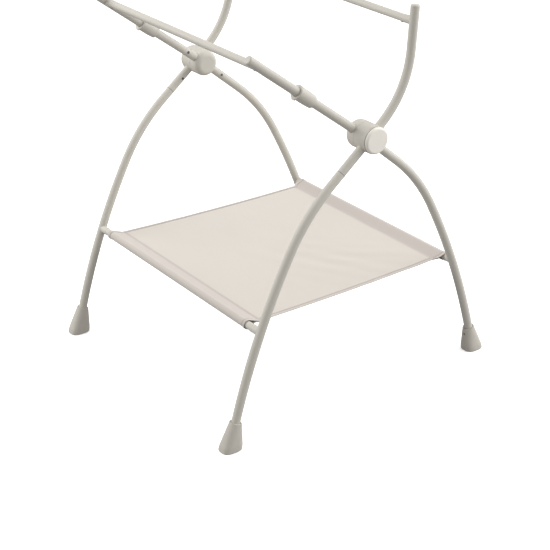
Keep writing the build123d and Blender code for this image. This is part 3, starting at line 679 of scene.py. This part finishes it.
def shelf_profile(plan, settings):
    """The cloth's line from front to rear: sleeve, panel, sleeve, as (y, z, doubled)."""
    radius = plan["bar_r"] + SLEEVE_GAP + settings.layer_pitch + settings.thickness / 2
    allowed = settings.seam_allowance
    front, rear = (
        sleeve_profile(plan[bar], plan[seam], radius, allowed, settings.layer_pitch, way)
        for bar, seam, way in (("front_bar", "front_seam", -1), ("rear_bar", "rear_seam", 1))
    )
    depth = plan["rear_seam"] - plan["front_seam"]
    flat = [
        (plan["front_seam"] + d, front[-1][1], ALLOWANCE if min(d, depth - d) < allowed else SINGLE)
        for d in close_then_wide(depth, fine=0.001, band=0.012, coarse=0.005)[1:-1]
    ]
    return front + flat + list(reversed(rear)), (len(front), len(front) + len(flat))


def travelled(line):
    """How far along the cloth each point of the line lies."""
    distance = [0.0]
    for (ya, za, _), (yb, zb, _) in zip(line, line[1:]):
        distance.append(distance[-1] + math.hypot(yb - ya, zb - za))
    return distance


def half_width(plan, y):
    """Half the shelf's width at a place from front to rear."""
    share = (y - plan["front_seam"]) / (plan["rear_seam"] - plan["front_seam"])
    share = min(1.0, max(0.0, share))
    return plan["front_half"] + (plan["rear_half"] - plan["front_half"]) * share


def groove(away, settings):
    """How deep a sewn line presses the cloth at a distance from the line."""
    return settings.groove * math.exp(-((away / settings.groove_width) ** 2))


def sewn_line(x, y, plan, settings):
    """How much painted shade a place gets from the nearest sewn groove, from 0 to 1."""
    edge = half_width(plan, y) - abs(x) - settings.hem_width
    inset = SEAM_INSETS[0]
    nearest = min(abs(y - plan["front_seam"] - inset), abs(plan["rear_seam"] - y - inset))
    seam = SEAM_SHADE * math.exp(-((nearest / settings.groove_width) ** 2))
    return max(seam, math.exp(-((edge / (HEM_SHADE_SPREAD * settings.groove_width)) ** 2)))


def hem_shape(edge, settings):
    """How far a sleeve's end stands out at a distance from its edge: fuller, then pressed in."""
    full = settings.hem_bulge * min(1.0, max(0.0, (settings.hem_width - edge) / HEM_RISE))
    return full - 0.5 * groove(edge - settings.hem_width, settings)


def panel_height(x, y, plan, settings):
    """How far the single layer lies below or above flat: its sag, ripples and sewn lines."""
    depth = plan["rear_seam"] - plan["front_seam"]
    share = min(1.0, max(0.0, (y - plan["front_seam"]) / depth))
    hang = 4 * share * (1 - share)
    height = -settings.sag * hang * (1 - SIDE_EASE + SIDE_EASE * math.cos(SIDE_TURN * x))
    for cx, cy, spread, turn, wave, size in RIPPLES:
        u = (x - cx) * math.cos(turn) + (y - cy) * math.sin(turn)
        v = (y - cy) * math.cos(turn) - (x - cx) * math.sin(turn)
        fade = math.exp(-(u * u) / (2 * (1.8 * spread) ** 2) - v * v / (2 * spread * spread))
        height += settings.wrinkle * size * fade * math.sin(2 * math.pi * v / wave) * hang
    edge = half_width(plan, y) - abs(x)
    free = min(1.0, HEM_FADE * share, HEM_FADE * (1 - share))
    if edge < settings.hem_width:
        inward = edge / settings.hem_width
        height += free * settings.hem_welt * math.sin(math.pi * (0.15 + 0.85 * inward))
        height -= free * settings.hem_drop * (1 - inward)
    height -= free * groove(edge - settings.hem_width, settings)
    for seam_edge in (share * depth, (1 - share) * depth):
        height -= groove(seam_edge - SEAM_INSETS[0], settings) * min(1.0, seam_edge / SEAM_FADE)
    return height


def shelf_cloth_mesh(plan, settings):
    """One sheet round both bars, with its sides turned under, a map in metres, and painted shade
    for two layers of cloth and for sewn grooves.
    """
    line, (first_flat, last_flat) = shelf_profile(plan, settings)
    distance = travelled(line)
    edges = close_then_wide(2 * plan["front_half"], fine=0.0008, band=0.016, coarse=0.0055)
    across = [d / plan["front_half"] - 1.0 for d in edges]
    turned_under = [settings.hem_width * (1 - s / HEM_STEPS) for s in range(HEM_STEPS)]
    rows, maps, layer_shade_marks, groove_shades = [], [], [], []
    for k, (y, z, doubled) in enumerate(line):
        before, after = line[max(0, k - 1)], line[min(len(line) - 1, k + 1)]
        run = Vector((0.0, after[0] - before[0], after[1] - before[1])).normalized()
        out = Vector((0.0, -run.z, run.y))
        half = half_width(plan, y)
        if y > plan["rear_seam"]:
            above = (z - plan["rear_bar"][1]) / plan["bar_r"]
            half += settings.rear_reach * min(1.0, max(0.0, 0.5 + above))
        row = []
        for s in across:
            x, edge = s * half, half * (1 - abs(s))
            point = Vector((x, y, z))
            if first_flat <= k < last_flat:
                point.z += panel_height(x, y, plan, settings)
                # Painted shade along the sewn grooves of the panel
                groove_shades.append(sewn_line(x, y, plan, settings))
            else:
                point += out * hem_shape(edge, settings)
                # Painted shade along the groove at a sleeve's hemmed end
                groove_shades.append(groove(edge - settings.hem_width, settings) / settings.groove)
            row.append(point)
            maps.append((x, distance[k]))
            # Painted shade where the cloth lies in two layers
            layer_shade_marks.append(HEM if edge < settings.hem_width else doubled)
        under = [[], []]
        for side, sign in ((0, -1), (1, 1)):
            for width in turned_under:
                x = half - width
                near = min(range(len(across)), key=lambda c: abs(across[c] * half - sign * x))
                base = row[near]
                under[side].append(Vector((sign * x, base.y, base.z)) - out * settings.layer_pitch)
        left_map = [(-half - w, distance[k]) for w in turned_under]
        right_map = [(half + w, distance[k]) for w in reversed(turned_under)]
        count = len(row)
        rows.append(under[0] + row + list(reversed(under[1])))
        maps[-count:] = left_map + maps[-count:] + right_map
        layer_shade_marks[-count:] = [1.0] * HEM_STEPS + layer_shade_marks[-count:] + [1.0] * HEM_STEPS
        groove_shades[-count:] = [0.0] * HEM_STEPS + groove_shades[-count:] + [0.0] * HEM_STEPS
    mesh = grid_mesh("shelf_cloth", rows)
    layer = mesh.uv_layers.new(name="cloth")
    for loop in mesh.loops:
        layer.data[loop.index].uv = maps[loop.vertex_index]
    # Painted shade amounts, read by the cloth's finish
    mesh.attributes.new("doubled", "FLOAT", "POINT").data.foreach_set("value", layer_shade_marks)
    mesh.attributes.new("crease", "FLOAT", "POINT").data.foreach_set("value", groove_shades)
    smooth(mesh)
    return mesh, distance[-1]


class STAND_OT_shelf_cloth(bpy.types.Operator):
    """Make the shelf's cloth: a sleeve round each bar, one layer between, sides hemmed"""

    bl_idname = "stand.shelf_cloth"
    bl_label = "Shelf cloth"

    def execute(self, context):
        settings, plan = context.scene.stand_shelf, shelf_plan()
        mesh, length = shelf_cloth_mesh(plan, settings)
        cloth = new_piece("shelf_cloth", mesh, finish("shelf_cloth"))
        thicken = cloth.modifiers.new("layer", "SOLIDIFY")
        thicken.thickness = settings.thickness
        thicken.offset = 0.0
        baked(cloth)
        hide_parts("shelf_panel", "front_shelf_sleeve", "rear_shelf_sleeve")
        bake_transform(cloth)
        return {"FINISHED"}


def line_piece(name, lines):
    """An object that holds open lines of points, for stitches to follow."""
    points = [tuple(p) for line in lines for p in line]
    edges, start = [], 0
    for line in lines:
        edges += [(start + k, start + k + 1) for k in range(len(line) - 1)]
        start += len(line)
    mesh = bpy.data.meshes.new(name)
    mesh.from_pydata(points, edges, [])
    return new_piece(name, mesh, finish("sewing_thread"))


class STAND_OT_shelf_stitches(bpy.types.Operator):
    """Sew the sleeves' seams and the side hems with one stitch after another"""

    bl_idname = "stand.shelf_stitches"
    bl_label = "Shelf stitches"

    def execute(self, context):
        settings, plan = context.scene.stand_shelf, shelf_plan()
        steps = STITCH_LINE_STEPS
        values = {
            "Pitch": settings.stitch_pitch,
            "Length": settings.stitch_length,
            "Width": settings.thread_width,
            "Finish": finish("sewing_thread"),
        }
        top = settings.thickness / 2 + settings.thread_width * 0.15

        def on_cloth(x, y, z):
            return Vector((x, y, z + top + panel_height(x, y, plan, settings)))

        z = plan["front_bar"][1]
        for name, seam, half, way, body in (
            (STITCHING[0], plan["front_seam"], plan["front_half"], 1, OUTER),
            (STITCHING[1], plan["rear_seam"], plan["rear_half"], -1, INNER),
        ):
            lines = []
            for inset in SEAM_INSETS:
                y = seam + way * inset
                lines.append([
                    on_cloth((2 * k / steps - 1) * (half - settings.hem_width), y, z)
                    for k in range(steps + 1)
                ])
            piece = run_tree(line_piece(name, lines), stitch_tree, values)
            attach(piece, body)
        span = plan["rear_seam"] - plan["front_seam"]
        depths = [plan["front_seam"] + span * k / steps for k in range(steps + 1)]
        lines = [
            [on_cloth(side * (half_width(plan, y) - settings.hem_width), y, z) for y in depths]
            for side in (-1, 1)
        ]
        hems = run_tree(line_piece(STITCHING[2], lines), stitch_tree, values)
        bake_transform(hems)
        return {"FINISHED"}


# ---- fasteners and rings ------------------------------


def screw_shape(settings):
    """A pan-head screw standing on its seat, with a cross recess, head up along Z."""
    r, h = settings.head_radius, settings.head_height
    shank, length = settings.shank_radius, settings.shank_length
    crown_profile = (
        (0.97, 0.0), (1.0, 0.12), (0.99, 0.45), (0.94, 0.7), (0.84, 0.86), (0.72, 0.94),
        (0.58, 0.98), (0.44, 1.0), (0.30, 1.0), (0.16, 1.0),
    )
    profile = [(shank * 0.7, -length), (shank, -length * 0.9), (shank, 0.0)]
    profile += [(r * out, h * up) for out, up in crown_profile]
    sides = SCREW_SIDES
    rings = []
    for radius, z in profile:
        ring = []
        for k in range(sides):
            x = radius * math.cos(2 * math.pi * k / sides)
            y = radius * math.sin(2 * math.pi * k / sides)
            on_crown = z >= h * 0.93 and radius < r * 0.7
            cut = on_crown and min(abs(x), abs(y)) < settings.recess_width / 2
            ring.append((x, y, z - settings.recess_depth if cut else z))
        rings.append(ring)
    mesh = grid_mesh("screw", rings, closed=True)
    shape = bmesh.new()
    shape.from_mesh(mesh)
    shape.verts.ensure_lookup_table()
    first = [shape.verts[k] for k in range(sides)]
    last = [shape.verts[len(shape.verts) - sides + k] for k in range(sides)]
    tip = shape.verts.new((0, 0, -length))
    crown = shape.verts.new((0, 0, h - settings.recess_depth))
    for k in range(sides):
        n = (k + 1) % sides
        shape.faces.new((tip, first[n], first[k]))
        shape.faces.new((crown, last[k], last[n]))
    bmesh.ops.recalc_face_normals(shape, faces=shape.faces)
    shape.to_mesh(mesh)
    shape.free()
    made = bpy.data.objects.new("screw_shape", mesh)
    bpy.context.scene.collection.objects.link(made)
    return made


def fastener_places(node, head_height):
    """Where each of a pair of CAD screws has its seat, and the way its head stands out."""
    points = node_points(node)
    found = []
    for side in (-1, 1):
        own = points[points[:, 0] * side > 0]
        own = np.unique(own.round(7), axis=0)
        centre = (own.min(0) + own.max(0)) / 2
        around = own - own.mean(0)
        spread, ways = np.linalg.eigh(np.cov(around.T))
        lonely = 0 if abs(spread[1] - spread[0]) > abs(spread[2] - spread[1]) else 2
        axis = ways[:, lonely]
        along = (own - centre) @ axis
        across = np.linalg.norm(around - np.outer(around @ axis, axis), axis=1)
        if along[across > across.max() * 0.9].mean() < 0:
            axis, along = -axis, -along
        middle_line = own.mean(0) - axis * ((own.mean(0) - centre) @ axis)
        seat = middle_line + axis * (along.max() - head_height)
        found.append((seat, axis))
    return found


class STAND_OT_fasteners(bpy.types.Operator):
    """Set a cross-head screw in every screw place of each frame"""

    bl_idname = "stand.fasteners"
    bl_label = "Screws"

    def execute(self, context):
        settings = context.scene.stand_fasteners
        shape = screw_shape(settings)
        groups = (
            ("outer_frame_screws", OUTER,
             ("front_foot_screws", "front_shelf_bar_screws", "rear_top_rail_screws")),
            ("inner_frame_screws", INNER,
             ("rear_foot_screws", "rear_shelf_bar_screws", "front_top_rail_screws")),
        )
        for name, body, nodes in groups:
            places = [p for node in nodes for p in fastener_places(node, settings.head_height)]
            mesh = bpy.data.meshes.new(name)
            mesh.from_pydata([tuple(seat) for seat, _ in places], [], [])
            ways = mesh.attributes.new("way_out", "FLOAT_VECTOR", "POINT")
            ways.data.foreach_set("vector", [c for _, way in places for c in way])
            piece = new_piece(name, mesh, finish("screw_steel"))
            values = {"Shape": shape, "Size": 1.0, "Finish": finish("screw_steel")}
            run_tree(piece, fastener_tree, values)
            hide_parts(*nodes)
            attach(piece, body)
        bpy.data.objects.remove(shape)
        return {"FINISHED"}


class STAND_OT_joint_rings(bpy.types.Operator):
    """Set a thin dark ring in the joint of each front leg"""

    bl_idname = "stand.joint_rings"
    bl_label = "Joint rings"

    def execute(self, context):
        settings = context.scene.stand_fasteners
        mesh = bpy.data.meshes.new("leg_joint_rings")
        shape = bmesh.new()
        way = Vector((0, -math.cos(LEG_SLOPE), -math.sin(LEG_SLOPE)))
        turn = way.to_track_quat("Z", "Y").to_matrix()
        tongue, half = RING_TONGUE_HALF, settings.ring_width / 2
        for side in ("right", "left"):
            upper = node_points(f"front_leg_upper_tube_{side}")
            hub = middle(f"hub_cap_{side}")
            start = Vector((middle(f"front_leg_upper_tube_{side}").x, hub.y, hub.z))
            reach = max((Vector(p) - start).dot(way) for p in upper)
            tube_r = max(abs(p[0] - start.x) for p in upper)
            centre = start + way * (reach + JOINT_MIDDLE)
            sunk, skin = tube_r - RING_TONGUE_DEPTH, tube_r + RING_CLEARANCE
            top = tube_r + settings.ring_proud
            section = (
                (sunk, -tongue), (sunk, tongue), (skin, tongue), (skin, half),
                (top, half * 0.6), (top, -half * 0.6), (skin, -half), (skin, -tongue),
            )
            rings = []
            for k in range(RING_SIDES):
                angle = 2 * math.pi * k / RING_SIDES
                rings.append([
                    shape.verts.new(
                        centre + turn @ Vector((r * math.cos(angle), r * math.sin(angle), along))
                    )
                    for r, along in section
                ])
            for k in range(RING_SIDES):
                near, far = rings[k], rings[(k + 1) % RING_SIDES]
                for j in range(len(section)):
                    n = (j + 1) % len(section)
                    shape.faces.new((near[j], near[n], far[n], far[j]))
        bmesh.ops.recalc_face_normals(shape, faces=shape.faces)
        shape.to_mesh(mesh)
        shape.free()
        piece = new_piece("leg_joint_rings", mesh, finish("joint_ring"))
        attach(piece, OUTER)
        return {"FINISHED"}


# ---- finishes on the CAD pieces -----------------------


class STAND_OT_frame_finishes(bpy.types.Operator):
    """Give every CAD piece the finish of its own material slot"""

    bl_idname = "stand.frame_finishes"
    bl_label = "Frame finishes"

    def execute(self, context):
        slots = {row["node"]: row["material_slot"] for row in frame["record"]["subparts"]}
        for name, node in frame["nodes"].items():
            slot = slots[name]
            material = finish("shelf_cloth" if slot == "shelf_fabric" else slot)
            node.data.materials.clear()
            node.data.materials.append(material)
        return {"FINISHED"}


# ---- stage --------------------------------------------


def studio_floor_finish(settings):
    """Plain pale floor: white to the eye, with less light thrown back at the stand."""
    made, tree, shader = new_material("studio floor")
    seen = tree.nodes.new("ShaderNodeLightPath").outputs["Is Camera Ray"]
    tone, bounce, lift = ((v,) * 3 for v in (
        settings.floor_tone, settings.floor_bounce, settings.floor_lift))
    tree.links.new(mixed(tree, seen, bounce, tone), shader.inputs["Base Color"])
    tree.links.new(mixed(tree, seen, (0.0, 0.0, 0.0), lift), shader.inputs["Emission Color"])
    set_values(shader, Emission_Strength=1.0, Roughness=1.0, Specular_IOR_Level=0.0)
    return made


def soft_light(name, power, place, aim):
    """A large square soft light that faces aim."""
    lamp = bpy.data.lights.new(name, "AREA")
    lamp.energy, lamp.size = power, LAMP_SIZE
    made = bpy.data.objects.new(name, lamp)
    made.location = place
    made.rotation_mode = "QUATERNION"
    made.rotation_quaternion = (place - aim).to_track_quat("Z", "Y")
    bpy.context.scene.collection.objects.link(made)
    return made


class STAND_OT_stage(bpy.types.Operator):
    """Set the plain floor, the soft lights and the camera"""

    bl_idname = "stand.stage"
    bl_label = "Stage"

    def execute(self, context):
        scene, settings = context.scene, context.scene.stand_stage
        half = settings.floor_size / 2
        corners = [[(x, y, 0) for x in (-half, half)] for y in (-half, half)]
        mesh = grid_mesh("floor", corners)
        floor = new_piece("floor", mesh, studio_floor_finish(settings))
        scene.view_settings.view_transform = "Standard"
        world = bpy.data.worlds.new("studio")
        scene.world = world
        world.use_nodes = True
        surround = world.node_tree.nodes["Background"]
        set_values(surround, Color=(1.0, 1.0, 1.0, 1.0), Strength=settings.sky)
        turn, rise = settings.azimuth, settings.elevation
        ahead = Vector((-math.sin(turn), math.cos(turn), 0))
        right = Vector((math.cos(turn), math.sin(turn), 0))
        aim = Vector(LAMP_AIM)

        def beside(aside, forward, height):
            """A place so far to the right, ahead and above the point that the lamps face."""
            return aim + right * aside + ahead * forward + Vector((0, 0, height))

        soft_light("key", settings.key_power, beside(*KEY_LAMP_OFFSET), aim)
        soft_light("back", settings.back_power, Vector(BACK_LAMP_PLACE), aim)
        soft_light("fill", settings.fill_power, beside(*FILL_LAMP_OFFSET), aim)
        level = math.cos(rise)
        back = Vector((math.sin(turn) * level, -math.cos(turn) * level, math.sin(rise)))
        lens = bpy.data.cameras.new("camera")
        lens.lens, lens.sensor_width = settings.lens, 36.0
        lens.clip_start, lens.clip_end = 0.05, 200.0
        camera = bpy.data.objects.new("camera", lens)
        camera.location = settings.station
        camera.rotation_mode = "QUATERNION"
        camera.rotation_quaternion = back.to_track_quat("Z", "Y")
        scene.collection.objects.link(camera)
        scene.camera = camera
        return {"FINISHED"}


class STAND_PT_panel(bpy.types.Panel):
    """The stand's settings and steps"""

    bl_idname = "STAND_PT_panel"
    bl_label = "Folding stand"
    bl_space_type = "VIEW_3D"
    bl_region_type = "UI"
    bl_category = "Stand"

    def draw(self, context):
        layout = self.layout
        for group in ("stand_finish", "stand_shelf", "stand_fasteners", "stand_stage"):
            settings = getattr(context.scene, group)
            box = layout.box()
            for name in settings.bl_rna.properties.keys():
                if name not in ("rna_type", "name"):
                    box.prop(settings, name)
        for step in STEPS:
            layout.operator(step.bl_idname)


STEPS = (
    STAND_OT_frame_finishes,
    STAND_OT_shelf_stitches,
    STAND_OT_shelf_cloth,
    STAND_OT_fasteners,
    STAND_OT_joint_rings,
    STAND_OT_stage,
)
SETTINGS = (
    ("stand_finish", StandFinishSettings),
    ("stand_shelf", StandShelfSettings),
    ("stand_fasteners", StandFastenerSettings),
    ("stand_stage", StandStageSettings),
)


def register():
    for _, group in SETTINGS:
        bpy.utils.register_class(group)
    for name, group in SETTINGS:
        setattr(bpy.types.Scene, name, bpy.props.PointerProperty(type=group))
    for step in (*STEPS, STAND_PT_panel):
        bpy.utils.register_class(step)


def unregister():
    for step in reversed((*STEPS, STAND_PT_panel)):
        bpy.utils.unregister_class(step)
    for name, _ in SETTINGS:
        delattr(bpy.types.Scene, name)
    for _, group in reversed(SETTINGS):
        bpy.utils.unregister_class(group)


def main():
    register()
    for step in STEPS:
        getattr(bpy.ops.stand, step.bl_idname.split(".")[1])()


if __name__ == "__main__":
    main()
